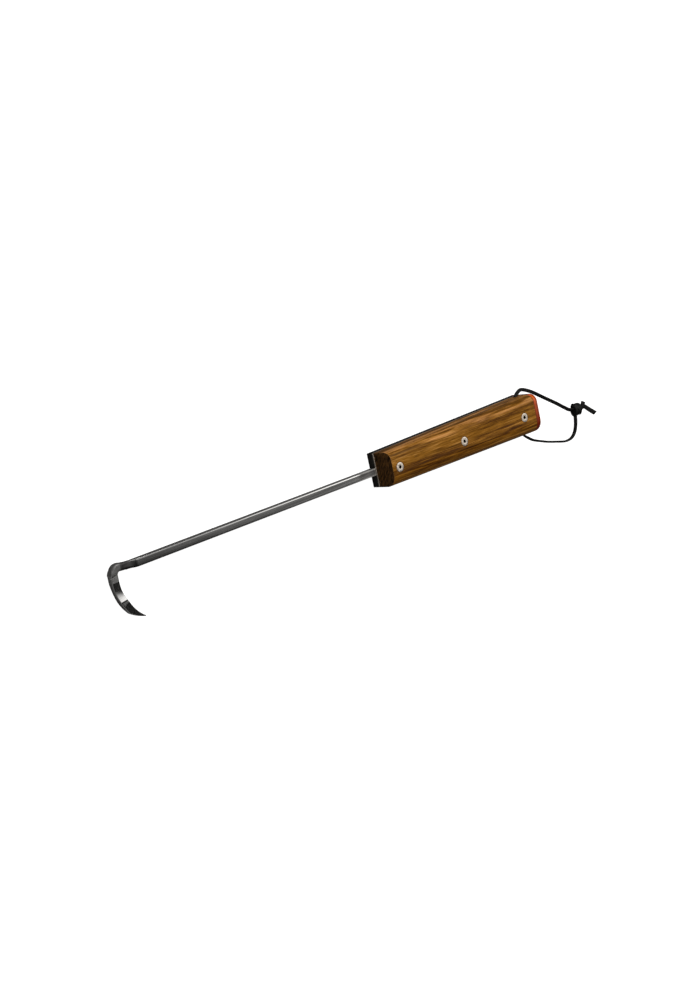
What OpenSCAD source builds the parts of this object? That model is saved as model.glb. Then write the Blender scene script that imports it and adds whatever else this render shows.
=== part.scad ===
// Long-handled hook tool: a square steel rod forged into a claw, with a layered grip and a lace loop.
// +X runs along the rod towards the butt, +Y points to the grip's upper edge, +Z out of its front face.
// The origin lies in the plane of the flat back, under the rod's line, at the grip's front end.

/* [Grip] */
// Length of the grip, with its end cap
grip_l = 171.6; // [160:0.1:200]
// Height of the grip's upper edge above the rod's line, at the front end
front_top = 14; // [12:0.5:16]
// Depth of the grip's lower edge below the rod's line, at the front end
front_bottom = 11.8; // [11:0.1:14]
// Height of the grip's upper edge above the rod's line, at the butt
butt_top = 17.9; // [16:0.1:20]
// Depth of the grip's lower edge below the rod's line, at the butt
butt_bottom = 12.8; // [12:0.1:15]
// Thickness of the wooden scale
scale_t = 17.3; // [14:0.1:20]
// Thickness of the metal liner between the scale and the back plate
liner_t = 1.2; // [0.8:0.1:1.5]
// Thickness of the flat back plate
back_t = 5.6; // [5.5:0.1:7]
// Radius along the scale's upper front edge
top_edge_r = 6.5; // [3:0.5:8]
// Radius along the scale's lower front edge
bottom_edge_r = 9; // [4:0.5:10]
// Length of the end cap
cap_l = 5.9; // [5:0.1:7]
// Radius around the end cap's outer rim
cap_rim_r = 2.2; // [1:0.1:3.5]

/* [Rod] */
// Width and thickness of the square rod
rod_w = 5.5; // [4.5:0.1:5.5]
// Radius along the rod's edges
rod_edge_r = 0.6; // [0.4:0.1:1.2]
// Length of the straight rod outside the grip
rod_l = 226.1; // [180:0.1:300]
// Width of the rod's flattened inner end
paddle_w = 12; // [11:0.5:14]
// Thickness of the rod's flattened inner end
paddle_t = 2.2; // [1.8:0.1:2.4]

/* [Claw] */
// Length of the neck between the straight rod and the bend
neck_l = 11.7; // [8:0.1:14]
// Angle by which the neck rises from the rod's line
neck_rise = 6; // [0:0.5:12]
// Radius of the bend, on the bar's centre line
bend_r = 5.1; // [4:0.1:7]
// Angle by which the claw leans forward as it leaves the bend
claw_lean = 6; // [0:1:20]
// Radius of the claw's arc, on the bar's centre line
claw_r = 34; // [25:1:45]
// Angle that the claw's arc turns through
claw_sweep = 67; // [55:0.5:80]
// How much the outer side swells at the bend
bend_swell = 0.2; // [0:0.1:1]
// How far the tip lies to the inside of the bar's centre line
tip_shift = 1.1; // [0:0.1:1.5]
// Thickness of the ground claw
claw_t = 4.3; // [3:0.1:4.5]
// Depth of the shallow hollow ground into each side of the claw
hollow_depth = 0.4; // [0:0.05:0.5]

/* [Fasteners] */
// Diameter of the grip screws' heads
head_d = 7; // [6:0.5:8]
// Depth of the grip screws' heads
head_t = 3; // [2.5:0.5:4]
// Diameter of the grip screws' shanks
shank_d = 3.9; // [3:0.1:4]
// Width across the flats of the hexagon socket
socket_af = 2.5; // [2:0.1:3]
// Distance from the grip's front end to the first screw
screw_inset = 7.6; // [7:0.1:10]
// Distance between neighbouring grip screws
screw_pitch = 72.2; // [66:0.1:74]
// Outer diameter of the barrel nuts
nut_d = 5.4; // [5:0.1:5.8]
// Diameter of the barrel nuts' heads
nut_head_d = 7.6; // [7:0.1:9]
// Thickness of the barrel nuts' heads
nut_head_t = 1.2; // [0.8:0.1:1.5]
// Diameter of the cap screws' shanks
cap_screw_d = 2.8; // [2.5:0.1:3.2]
// Diameter of the cap screws' countersunk heads
cap_head_d = 5.4; // [5:0.1:6]
// Length of the cap screws
cap_screw_l = 15; // [12:1:16]

/* [Lace] */
// Diameter of the hole that the lace passes through
hole_d = 4.2; // [4:0.1:4.5]
// Distance from the hole's axis to the butt
hole_inset = 10.3; // [9.2:0.1:11]
// Distance from the hole's axis to the back of the grip
hole_z = 10.6; // [9.5:0.1:11]
// Width of the lace, in the plane of its loop
lace_w = 2.6; // [2:0.1:2.8]
// Thickness of the lace
lace_t = 1.6; // [1.2:0.1:2]
// Length of the loop from the hole to the knot
loop_l = 70; // [65:1:80]

/* [Hidden] */
$fn = 64;
eps = 0.05;
cut = 1;

// Grip
grip_t = back_t + liner_t + scale_t;
body_l = grip_l - cap_l;
scale_z = back_t + liner_t;
top_tilt = atan((butt_top - front_top) / grip_l);
bottom_tilt = atan((butt_bottom - front_bottom) / grip_l);

// Fits
slip = 0.1;
bore_slip = 0.2;

// Rod: its front face is flush with the liner
rod_z = back_t - rod_w / 2;
rod_inside = 3;
paddle_l = screw_inset + screw_pitch + 12;
corner_steps = 4;

// Claw: the lean and the rise set the headings, measured from +X towards +Y
neck_heading = 180 - neck_rise;
claw_heading = 270 - claw_lean;
kink = [-rod_l, 0];
kink_l = 3;
kink_edge_r = 1.2 * rod_edge_r;
bend_start = kink + neck_l * [cos(neck_heading), sin(neck_heading)];
bend_centre = bend_start - bend_r * outward(neck_heading);
bend_end = bend_centre + bend_r * outward(claw_heading);
claw_centre = bend_end - claw_r * outward(claw_heading);
bend_steps = 12;
claw_steps = 36;
knuckle_r = 1.8;
ground_edge_r = 0.45;
tip_half = 0.33;

// Where the grinding starts, as shares of the bend
plunge_start = 0.65;
plunge_end = 0.95;

// Where the claw's features lie, as shares of its arc
swell_end = 0.6;
hollow_start = 0.1;
hollow_end = 0.45;
inner_taper = 0.55;
outer_taper = 0.68;
side_taper = 0.53;

// Fasteners
screw_xs = [for (i = [0:2]) screw_inset + i * screw_pitch];
socket_depth = 2.2;
screw_foot = 1.6;
nut_recess = 0.1;
cap_screw_z = 17;
cap_screw_reach = 8;

// Lace
hole_x = grip_l - hole_inset;
lace_r = lace_w / 2;
fold_x = hole_x + loop_l / 2;
fold_gap = 1.6;
knot_x = hole_x + loop_l;
knot_y = -9.9;
knot_r = 4.3;
knot_half = 0.9;
tail_l = 23;
tail_drop = 35;
stub_l = 5;
stub_rise = 57;
curve_steps = 8;

// Unit vector to the outer side of the bar, for a heading that runs from the grip to the tip
function outward(heading) = [sin(heading), -cos(heading)];

// Height of the grip's upper and lower edges, and of its middle line, at a distance from the front
function top_y(x) = front_top + (butt_top - front_top) * x / grip_l;
function bottom_y(x) = -front_bottom - (butt_bottom - front_bottom) * x / grip_l;
function middle_y(x) = (top_y(x) + bottom_y(x)) / 2;

// Rises from 0 to 1 as u goes from a to b
function ramp(u, a, b) = min(1, max(0, (u - a) / (b - a)));

// Rounded rectangle around the bar's centre line: across the bar, then along Z
function bar_ring(outer, inner, half_t, r) = [
    for (corner = [0:3], i = [0:corner_steps])
        let (
            a = 90 * corner + 90 * i / corner_steps,
            cx = (corner == 0 || corner == 3) ? outer - r : r - inner,
            cz = (corner < 2) ? half_t - r : r - half_t
        )
        [cx + r * cos(a), cz + r * sin(a)]
];

// A station is [place, heading, outer half, inner half, half thickness, edge radius]
function ring_points(s) =
    let (out = outward(s[1]))
    [for (p = bar_ring(s[2], s[3], s[4], s[5])) [s[0].x + p.x * out.x, s[0].y + p.x * out.y, rod_z + p.y]];

function rod_station(x, r) = [[x, 0], 180, rod_w / 2, rod_w / 2, rod_w / 2, r];

function bend_station(i) =
    let (
        t = i / bend_steps,
        h = neck_heading + (claw_heading - neck_heading) * t,
        ground = ramp(t, plunge_start, plunge_end),
        half = rod_w / 2,
        half_t = half + (claw_t / 2 - half) * ground
    )
    [bend_centre + bend_r * outward(h), h, half + bend_swell, half, half_t,
        knuckle_r + (ground_edge_r - knuckle_r) * ground];

function claw_station(u) =
    let (
        h = claw_heading + claw_sweep * u,
        full = claw_t / 2 - hollow_depth * sin(180 * ramp(u, hollow_start, hollow_end)),
        swollen = rod_w / 2 + bend_swell * (1 - ramp(u, 0, swell_end)),
        outer = swollen + (tip_half - tip_shift - swollen) * ramp(u, outer_taper, 1),
        inner = rod_w / 2 + (tip_half + tip_shift - rod_w / 2) * ramp(u, inner_taper, 1),
        half_t = full + (tip_half - full) * ramp(u, side_taper, 1),
        edge = min(ground_edge_r, 0.9 * min((outer + inner) / 2, half_t))
    )
    [claw_centre + claw_r * outward(h), h, outer, inner, half_t, edge];

bar_stations = concat(
    [rod_station(rod_inside, rod_edge_r), rod_station(kink_l - rod_l, rod_edge_r)],
    [rod_station(-rod_l, kink_edge_r)],
    [for (i = [0:bend_steps]) bend_station(i)],
    [for (i = [1:claw_steps]) claw_station(i / claw_steps)]
);

// Skin over a row of rings that all have the same number of points
module skin(rings) {
    n = len(rings[0]);
    last = len(rings) - 1;
    polyhedron(
        points = [for (ring = rings, p = ring) p],
        faces = concat(
            [[for (i = [n - 1:-1:0]) i]],
            [for (j = [0:last - 1], i = [0:n - 1]) [j * n + i, j * n + (i + 1) % n, (j + 1) * n + i]],
            [for (j = [0:last - 1], i = [0:n - 1])
                [(j + 1) * n + i, j * n + (i + 1) % n, (j + 1) * n + (i + 1) % n]],
            [[for (i = [0:n - 1]) last * n + i]]
        )
    );
}

// Extrudes a (Y, Z) outline along +X
module along_x(length) {
    rotate([90, 0, 90]) linear_extrude(length) children();
}

// Waste outside a rounded edge that runs along +X at Y = 0, below the front face. The arc stands
// proud of both faces by a hair, so that it crosses them instead of only touching them.
module edge_waste(r) {
    reach = 20;
    proud = 0.02;
    translate([-reach, 0, grip_t - r]) along_x(grip_l + 2 * reach) difference() {
        translate([-r, 0]) square(r + cut);
        translate([proud - r, proud]) circle(r);
    }
}

// Layer of the grip with square edges
module grip_layer(z0, z1) {
    linear_extrude(z1 - z0)
        polygon([
            [0, bottom_y(0)], [body_l, bottom_y(body_l)],
            [body_l, top_y(body_l)], [0, top_y(0)]
        ]);
}

// Upright holes at the grip screws' places
module screw_holes(d, z0, z1, xs = screw_xs) {
    for (x = xs) translate([x, middle_y(x), z0]) cylinder(d = d, h = z1 - z0);
}

module paddle_outline(grow) {
    translate([eps, -paddle_w / 2 - grow]) square([paddle_l - eps + grow, paddle_w + 2 * grow]);
}

module hook_rod() {
    color("silver") union() {
        skin([for (s = bar_stations) ring_points(s)]);
        difference() {
            translate([0, 0, back_t - eps - paddle_t]) linear_extrude(paddle_t) paddle_outline(0);
            screw_holes(nut_d + bore_slip, -cut, grip_t, [screw_xs[0], screw_xs[1]]);
        }
    }
}

module liner_plate() {
    color("gainsboro") difference() {
        translate([0, 0, back_t]) grip_layer(back_t, scale_z);
        screw_holes(shank_d + 2 * bore_slip, -cut, grip_t);
    }
}

module front_scale() {
    color("peru") difference() {
        translate([0, 0, scale_z]) grip_layer(scale_z, grip_t);
        translate([0, front_top, 0]) rotate([0, 0, top_tilt]) edge_waste(top_edge_r);
        translate([0, -front_bottom, 0]) mirror([0, 1, 0]) rotate([0, 0, bottom_tilt])
            edge_waste(bottom_edge_r);
        screw_holes(shank_d + 2 * bore_slip, -cut, grip_t + cut);
        screw_holes(head_d + slip, grip_t - head_t, grip_t + cut);
        lace_hole();
        for (x = [0, 1]) cap_screw_hole(x);
    }
}

module lace_hole() {
    translate([hole_x, -2 * grip_t, hole_z]) rotate([-90, 0, 0]) cylinder(d = hole_d, h = 4 * grip_t);
}

module back_plate() {
    color("dimgray") difference() {
        grip_layer(0, back_t);
        screw_holes(nut_d + bore_slip, -cut, grip_t);
        screw_holes(nut_head_d + slip, -cut, nut_recess + nut_head_t + eps);
        translate([0, 0, back_t - 2 * eps - paddle_t]) linear_extrude(grip_t) paddle_outline(slip);
        translate([-cut, -rod_w / 2 - eps, -cut]) cube([rod_inside + cut + slip, rod_w + 2 * eps, grip_t]);
    }
}

// Flush grip screw with a hexagon socket
module grip_screw(x) {
    color("lightgray") translate([x, middle_y(x), 0]) difference() {
        union() {
            translate([0, 0, screw_foot]) cylinder(d = shank_d, h = grip_t - screw_foot - cut);
            translate([0, 0, grip_t - head_t]) cylinder(d = head_d, h = head_t);
        }
        translate([0, 0, grip_t - socket_depth])
            cylinder(r = socket_af / sqrt(3), h = socket_depth + cut, $fn = 6);
    }
}

// Barrel nut that takes a grip screw from the back
module barrel_nut(x) {
    color("gray") translate([x, middle_y(x), nut_recess]) difference() {
        union() {
            cylinder(d = nut_head_d, h = nut_head_t);
            cylinder(d = nut_d, h = back_t - 2 * nut_recess);
        }
        translate([0, 0, -cut]) cylinder(d = shank_d + slip, h = grip_t);
    }
}

// Thin slice of the cap, where inset is how far its rim has drawn in
module cap_slice(x, inset) {
    thin = 0.02;
    translate([x, 0, 0]) along_x(thin) {
        translate([top_y(x) - top_edge_r, grip_t - top_edge_r]) circle(top_edge_r - inset, $fn = 32);
        translate([bottom_y(x) + bottom_edge_r, grip_t - bottom_edge_r])
            circle(bottom_edge_r - inset, $fn = 32);
        translate([bottom_y(x) + inset, inset]) square([top_y(x) - bottom_y(x) - 2 * inset, thin]);
    }
}

module cap_rim(steps) {
    hull() {
        cap_slice(body_l, 0);
        for (i = [0:steps])
            let (a = 90 * i / steps)
            cap_slice(grip_l - cap_rim_r * (1 - sin(a)), cap_rim_r * (1 - cos(a)));
    }
}

module end_cap() {
    color("orangered") difference() {
        cap_rim(6);
        for (x = [0, 1]) cap_screw_hole(x);
    }
}

// The two cap screws lie above and below the grip's middle line
function cap_screw_y(i) = middle_y(grip_l) + (i == 0 ? 1 : -1) * cap_screw_reach;

module cap_screw_hole(i) {
    translate([grip_l, cap_screw_y(i), cap_screw_z]) rotate([0, -90, 0]) {
        translate([0, 0, -cut]) cylinder(d = cap_screw_d + bore_slip, h = cap_screw_l + 2 * cut);
        translate([0, 0, -eps]) cylinder(d1 = cap_head_d + 3 * slip, d2 = cap_screw_d, h = cap_head_d / 2);
    }
}

// Countersunk wood screw with a cross recess
module cap_screw(i) {
    recess_w = 0.7;
    color("lightgray") translate([grip_l - slip, cap_screw_y(i), cap_screw_z]) rotate([0, -90, 0])
        difference() {
            union() {
                cylinder(d = cap_screw_d, h = cap_screw_l);
                cylinder(d1 = cap_head_d, d2 = cap_screw_d, h = (cap_head_d - cap_screw_d) / 2);
            }
            for (a = [45, 135]) rotate([0, 0, a])
                cube([cap_head_d / 2, recess_w, 2], center = true);
        }
}

// Point on a smooth curve through the middle two of four points
function spline(p0, p1, p2, p3, t) = 0.5 * (
    2 * p1 + (p2 - p0) * t + (2 * p0 - 5 * p1 + 4 * p2 - p3) * pow(t, 2)
    + (3 * p1 - p0 - 3 * p2 + p3) * pow(t, 3)
);

// Smooth curve through a list of points
function curve(pts) =
    let (last = len(pts) - 1)
    concat(
        [for (i = [0:last - 1], k = [0:curve_steps - 1])
            spline(pts[max(i - 1, 0)], pts[i], pts[i + 1], pts[min(i + 2, last)], k / curve_steps)],
        [pts[last]]
    );

// Band of constant width along a curve
module band(pts, half) {
    last = len(pts) - 1;
    function side(i) =
        let (d = pts[min(i + 1, last)] - pts[max(i - 1, 0)])
        half * [-d.y, d.x] / norm(d);
    polygon(concat(
        [for (i = [0:last]) pts[i] + side(i)],
        [for (i = [last:-1:0]) pts[i] - side(i)]
    ));
}

module lace_band(pts) {
    translate([0, 0, hole_z - lace_t / 2]) linear_extrude(lace_t) band(pts, lace_r);
}

// Loop's outline, from the hole's two mouths to the knot; reach is the share of the loop's length
function loop_point(reach, y) = [hole_x + reach * loop_l, y];

upper_line = [
    loop_point(0, top_y(hole_x) - 3), loop_point(0, top_y(hole_x) + 0.6),
    loop_point(0.035, top_y(hole_x) + 2.8), loop_point(0.11, top_y(hole_x) + 3.7),
    loop_point(0.28, top_y(hole_x) - 0.6), loop_point(0.48, 8.9)
];
upper_far_line = [
    loop_point(0.48, 8.9), loop_point(0.67, 1.1), loop_point(0.89, -8.2), loop_point(0.98, -9.9)
];
lower_line = [
    loop_point(0, bottom_y(hole_x) + 3), loop_point(0, bottom_y(hole_x)),
    loop_point(0.022, bottom_y(hole_x) - 1.7), loop_point(0.07, bottom_y(hole_x) - 4.1),
    loop_point(0.16, bottom_y(hole_x) - 7.9), loop_point(0.31, bottom_y(hole_x) - 11.6),
    loop_point(0.41, bottom_y(hole_x) - 13.8), loop_point(0.55, -29.1)
];
lower_far_line = [
    loop_point(0.45, -27.2), loop_point(0.6, -29.9), loop_point(0.69, -31.3), loop_point(0.76, -31.6),
    loop_point(0.83, -30.8), loop_point(0.89, -28.2), loop_point(0.93, -24.4), loop_point(0.957, -19.5),
    loop_point(0.97, -12)
];

module lace_window(x0, x1) {
    span = 200;
    translate([x0, -span / 2, 0]) cube([x1 - x0, span, grip_t]);
}

module knot_body(grow) {
    for (side = [-1, 1])
        translate([knot_x, knot_y + side * knot_half, hole_z]) sphere(r = knot_r + grow);
}

module lace_inner() {
    color("black") intersection() {
        union() {
            lace_band(curve(upper_line));
            lace_band(curve(lower_line));
            lace_band([[hole_x, bottom_y(hole_x) + 2], [hole_x, top_y(hole_x) - 2]]);
        }
        lace_window(hole_x - loop_l, fold_x - fold_gap / 2);
    }
}

module lace_outer(line) {
    color("black") difference() {
        intersection() {
            lace_band(curve(line));
            lace_window(fold_x + fold_gap / 2, hole_x + 2 * loop_l);
        }
        knot_body(eps);
    }
}

module lace_knot() {
    color("black") knot_body(0);
}

// Both tails leave the knot on its far side
tail_root = [knot_x + 0.85 * knot_r, knot_y + 0.35 * knot_r];
tail_bend = tail_root + [0.27 * tail_l, -0.04 * tail_l];
long_tail_line = [tail_root, tail_bend, tail_bend + 0.7 * tail_l * [cos(tail_drop), -sin(tail_drop)]];
stub_root = tail_root + [0.17 * tail_l, -0.04 * tail_l];
short_tail_line = [stub_root, stub_root + stub_l * [cos(stub_rise), sin(stub_rise)]];

module lace_tail_long() {
    color("black") difference() {
        lace_band(long_tail_line);
        knot_body(eps);
    }
}

module lace_tail_short() {
    color("black") difference() {
        lace_band(short_tail_line);
        knot_body(eps);
        translate([0, 0, hole_z - lace_t]) linear_extrude(2 * lace_t) band(long_tail_line, lace_r + slip);
    }
}

hook_rod();
liner_plate();
front_scale();
back_plate();
grip_screw(screw_xs[0]);  // grip_screw_front
grip_screw(screw_xs[1]);  // grip_screw_middle
grip_screw(screw_xs[2]);  // grip_screw_rear
barrel_nut(screw_xs[0]);  // barrel_nut_front
barrel_nut(screw_xs[1]);  // barrel_nut_middle
barrel_nut(screw_xs[2]);  // barrel_nut_rear
end_cap();
cap_screw(0);  // cap_screw_upper
cap_screw(1);  // cap_screw_lower
lace_inner();
lace_outer(upper_far_line);  // lace_outer_upper
lace_outer(lower_far_line);  // lace_outer_lower
lace_knot();
lace_tail_long();
lace_tail_short();
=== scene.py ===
"""Looks of a long-handled hook tool: a forged steel rod with a claw, a layered wooden grip and a lace.

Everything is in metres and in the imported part's frame: +X runs from the claw to the butt, +Y points to the
grip's upper edge and +Z points out of its front face. The tool lies on the floor at Z = 0.
"""

import math

import bpy
from mathutils import Matrix, Vector, noise


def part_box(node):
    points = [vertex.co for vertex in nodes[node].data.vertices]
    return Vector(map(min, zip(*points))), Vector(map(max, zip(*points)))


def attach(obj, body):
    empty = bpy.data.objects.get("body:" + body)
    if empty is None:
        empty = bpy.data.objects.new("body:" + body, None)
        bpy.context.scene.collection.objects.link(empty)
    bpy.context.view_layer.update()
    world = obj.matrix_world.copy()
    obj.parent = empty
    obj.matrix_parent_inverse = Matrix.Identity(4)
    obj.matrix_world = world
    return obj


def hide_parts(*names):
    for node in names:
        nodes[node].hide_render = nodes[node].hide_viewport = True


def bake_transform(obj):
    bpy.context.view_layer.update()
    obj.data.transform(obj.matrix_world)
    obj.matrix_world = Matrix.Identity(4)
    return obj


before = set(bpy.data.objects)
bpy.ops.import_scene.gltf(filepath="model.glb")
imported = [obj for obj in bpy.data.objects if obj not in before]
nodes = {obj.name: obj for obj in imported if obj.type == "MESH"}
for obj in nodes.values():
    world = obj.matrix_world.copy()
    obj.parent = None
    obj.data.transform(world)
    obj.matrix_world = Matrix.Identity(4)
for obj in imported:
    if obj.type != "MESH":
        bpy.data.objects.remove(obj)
bpy.context.view_layer.update()

MM = 0.001
GRIP_SCREWS = ("grip_screw_front", "grip_screw_middle", "grip_screw_rear")
SCREW_FACE_Z = 24.1 * MM
CAP_X = 165.7 * MM
CAP_LINE_X = CAP_X + 3.5 * MM


# ---------------------------------------------------------------------------
# Small tools for numbers
# ---------------------------------------------------------------------------


def mix(a, b, t):
    return a + (b - a) * t


def ramp(x, start, end):
    """Rises from 0 to 1 as x goes from start to end."""
    return min(1.0, max(0.0, (x - start) / (end - start)))


def smooth(x, start, end):
    """Like ramp, with soft ends."""
    t = ramp(x, start, end)
    return t * t * (3.0 - 2.0 * t)


def bump_at(x, centre, width):
    """A bell of height 1 at centre."""
    return math.exp(-(((x - centre) / width) ** 2))


def middle(node):
    low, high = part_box(node)
    return (low + high) / 2.0


# ---------------------------------------------------------------------------
# Node trees
# ---------------------------------------------------------------------------


def plug(tree, value, socket):
    """Links value to socket if it is another node's output, and sets it otherwise."""
    if isinstance(value, bpy.types.NodeSocket):
        tree.links.new(value, socket)
    else:
        socket.default_value = value


def add_node(tree, kind, inputs=None, **settings):
    node = tree.nodes.new(kind)
    for key, value in settings.items():
        setattr(node, key, value)
    for key, value in (inputs or {}).items():
        plug(tree, value, node.inputs[key])
    return node


# ---------------------------------------------------------------------------
# Materials
# ---------------------------------------------------------------------------

TURNING_PITCH = 0.22 * MM
CLOTH_PITCH = 0.4 * MM


class Look:
    """A material under construction. Each method adds one node and returns its output socket."""

    def __init__(self, name):
        self.material = bpy.data.materials.new(name)
        self.material.use_nodes = True
        self.tree = self.material.node_tree
        self.tree.nodes.clear()
        self.output = self.tree.nodes.new("ShaderNodeOutputMaterial")

    def add(self, kind, inputs=None, **settings):
        return add_node(self.tree, kind, inputs, **settings)

    def place(self):
        """Where a point is on the object at rest, in metres."""
        return self.add("ShaderNodeTexCoord").outputs["Object"]

    def facing(self):
        """The surface's direction in the part's frame."""
        return self.add("ShaderNodeTexCoord").outputs["Normal"]

    def attribute(self, name, part="Fac"):
        return self.add("ShaderNodeAttribute", attribute_name=name).outputs[part]

    def scaled(self, vector, scale, shift=(0.0, 0.0, 0.0), turn=(0.0, 0.0, 0.0)):
        node = self.add(
            "ShaderNodeMapping",
            {"Vector": vector, "Location": shift, "Rotation": turn, "Scale": scale},
        )
        return node.outputs["Vector"]

    def noise(self, vector, scale=1.0, detail=4.0, roughness=0.55, distortion=0.0):
        node = self.add(
            "ShaderNodeTexNoise",
            {
                "Vector": vector,
                "Scale": scale,
                "Detail": detail,
                "Roughness": roughness,
                "Distortion": distortion,
            },
        )
        return node.outputs["Fac"]

    def maths(self, operation, a, b=0.0):
        return self.add("ShaderNodeMath", {0: a, 1: b}, operation=operation).outputs[0]

    def vector_maths(self, operation, a, b=(0.0, 0.0, 0.0)):
        node = self.add("ShaderNodeVectorMath", {0: a, 1: b}, operation=operation)
        return node.outputs["Value" if operation in ("LENGTH", "DOT_PRODUCT", "DISTANCE") else "Vector"]

    def axis(self, vector, name):
        return self.add("ShaderNodeSeparateXYZ", {"Vector": vector}).outputs[name]

    def span(self, value, low, high, to_low=0.0, to_high=1.0, soft=False):
        node = self.add(
            "ShaderNodeMapRange",
            {"Value": value, "From Min": low, "From Max": high, "To Min": to_low, "To Max": to_high},
            interpolation_type="SMOOTHSTEP" if soft else "LINEAR",
        )
        return node.outputs["Result"]

    def colours(self, value, stops):
        """Colour ramp from (place, (r, g, b)) stops."""
        node = self.add("ShaderNodeValToRGB", {"Fac": value})
        points = node.color_ramp.elements
        while len(points) < len(stops):
            points.new(0.5)
        for point, (place, colour) in zip(points, stops):
            point.position = place
            point.color = (*colour, 1.0)
        return node.outputs["Color"]

    def blend(self, share, a, b, blend_type="MIX"):
        node = self.add("ShaderNodeMix", data_type="RGBA", blend_type=blend_type)
        for value, place in ((share, 0), (a, 6), (b, 7)):
            plug(self.tree, value, node.inputs[place])
        return node.outputs[2]

    def relief(self, height, distance, strength=1.0, under=None):
        inputs = {"Height": height, "Distance": distance, "Strength": strength}
        if under is not None:
            inputs["Normal"] = under
        return self.add("ShaderNodeBump", inputs).outputs["Normal"]

    def surface(self, **inputs):
        """Ends the material in one Principled shader; an input's name has underscores for spaces."""
        named = {key.replace("_", " "): value for key, value in inputs.items()}
        shader = self.add("ShaderNodeBsdfPrincipled", named)
        self.tree.links.new(shader.outputs[0], self.output.inputs["Surface"])
        return self.material


def wood_look():
    """Oiled, straight-grained brown wood, with its end grain towards the claw."""
    look = Look("oiled_wood")
    place = look.place()

    # Broad, slow wandering of the grain
    wander = look.noise(look.scaled(place, (9.0, 60.0, 60.0)), detail=2.0)
    wander_low = look.span(wander, 0.25, 0.75, -0.0011, 0.0011)
    drift = look.add("ShaderNodeCombineXYZ", {"Y": wander_low, "Z": wander_low}).outputs[0]
    bent = look.vector_maths("ADD", place, drift)

    # Year rings: the trunk's middle lies below and behind the grip
    centre = (0.0, -0.060, -0.032)
    across = look.vector_maths("MULTIPLY", look.vector_maths("SUBTRACT", bent, centre), (0.05, 1.0, 1.0))
    radius = look.vector_maths("LENGTH", across)
    ring = look.maths("FRACT", look.maths("MULTIPLY", radius, 310.0))
    late = look.span(ring, 0.45, 0.95, soft=True)
    late_end = look.span(ring, 0.96, 1.0, 1.0, 0.0)
    late = look.maths("MULTIPLY", late, late_end)
    ring_strength = look.noise(look.scaled(bent, (6.0, 170.0, 170.0), (3.0, 1.0, 7.0)), detail=2.0)
    late = look.maths("MULTIPLY", late, look.span(ring_strength, 0.42, 0.66))

    # Long streaks of lighter and darker wood
    streaks = look.noise(look.scaled(bent, (26.0, 620.0, 620.0)), detail=8.0, roughness=0.72)
    broad = look.noise(look.scaled(bent, (5.0, 120.0, 120.0), (5.0, 2.0, 4.0)), detail=3.0)
    fine = look.noise(look.scaled(bent, (34.0, 1500.0, 1500.0), (2.0, 9.0, 6.0)), detail=4.0, roughness=0.6)
    tone = look.maths("ADD", look.maths("MULTIPLY", streaks, 0.46), look.maths("MULTIPLY", broad, 0.26))
    tone = look.maths("ADD", tone, look.maths("MULTIPLY", fine, 0.28))
    colour = look.colours(
        tone,
        [
            (0.39, (0.015, 0.004, 0.0004)),
            (0.445, (0.062, 0.020, 0.0015)),
            (0.50, (0.143, 0.057, 0.004)),
            (0.555, (0.236, 0.102, 0.013)),
            (0.62, (0.365, 0.184, 0.050)),
        ],
    )
    colour = look.blend(look.maths("MULTIPLY", late, 0.72), colour, (0.060, 0.023, 0.001, 1.0))

    # Open pores: short dark dashes along the grain, dots on the end grain
    pores = look.noise(look.scaled(bent, (130.0, 3100.0, 3100.0)), detail=2.0, roughness=0.5)
    pore_cut = look.span(broad, 0.3, 0.7, 0.60, 0.66)
    pore = look.maths("MULTIPLY", look.maths("SUBTRACT", pores, pore_cut), 14.0)
    pore = look.add("ShaderNodeClamp", {"Value": pore}).outputs[0]
    colour = look.blend(look.maths("MULTIPLY", pore, 0.7), colour, (0.030, 0.010, 0.003, 1.0))

    # Painted sheen on the upper rounding, keyed to which way the surface faces: lighter streaks are painted
    # highlight, with darker streaks of painted shade between them
    upper = look.span(look.axis(look.facing(), "Y"), 0.10, 0.45, soft=True)
    worn = look.noise(look.scaled(bent, (14.0, 240.0, 240.0), (8.0, 3.0, 1.0)), detail=5.0, roughness=0.65)
    painted_sheen_light = look.maths("MULTIPLY", upper, look.span(worn, 0.49, 0.60, 0.0, 0.75))
    painted_sheen_dark = look.maths("MULTIPLY", upper, look.span(worn, 0.49, 0.40, 0.0, 0.70))
    colour = look.blend(painted_sheen_light, colour, (0.440, 0.205, 0.065, 1.0))
    colour = look.blend(painted_sheen_dark, colour, (0.045, 0.017, 0.002, 1.0))

    # End grain is darker, partly as oiled end grain is and partly as painted shade on the end face, with
    # slanting dark streaks; its rim gets a painted highlight
    turned = look.maths("ABSOLUTE", look.axis(look.facing(), "X"))
    end = look.span(turned, 0.94, 0.995, soft=True)
    colour = look.blend(look.maths("MULTIPLY", end, 0.85), colour, (0.055, 0.025, 0.008, 1.0))
    slanting = look.scaled(place, (1.0, 1.0, 1.0), turn=(-0.5, 0.0, 0.0))
    streak = look.noise(look.scaled(slanting, (40.0, 190.0, 1100.0)), detail=4.0, roughness=0.6)
    streak = look.maths("MULTIPLY", end, look.span(streak, 0.42, 0.58, 0.92, 0.0))
    colour = look.blend(streak, colour, (0.005, 0.002, 0.0008, 1.0))
    # Painted highlight on the rounded edge round the end face
    painted_rim_highlight = look.maths("MULTIPLY", look.span(turned, 0.25, 0.55), look.span(turned, 0.97, 0.85))
    colour = look.blend(look.maths("MULTIPLY", painted_rim_highlight, 0.6), colour, (0.500, 0.300, 0.170, 1.0))

    # A thin dark line of old oil around each screw head
    for name in GRIP_SCREWS:
        centre = middle(name)
        offset = look.vector_maths("SUBTRACT", place, (centre.x, centre.y, 0.0))
        flat = look.vector_maths("MULTIPLY", offset, (1.0, 1.0, 0.0))
        line = look.span(look.vector_maths("LENGTH", flat), 3.75 * MM, 4.05 * MM, 0.85, 0.0)
        colour = look.blend(line, colour, (0.030, 0.010, 0.002, 1.0))

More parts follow.
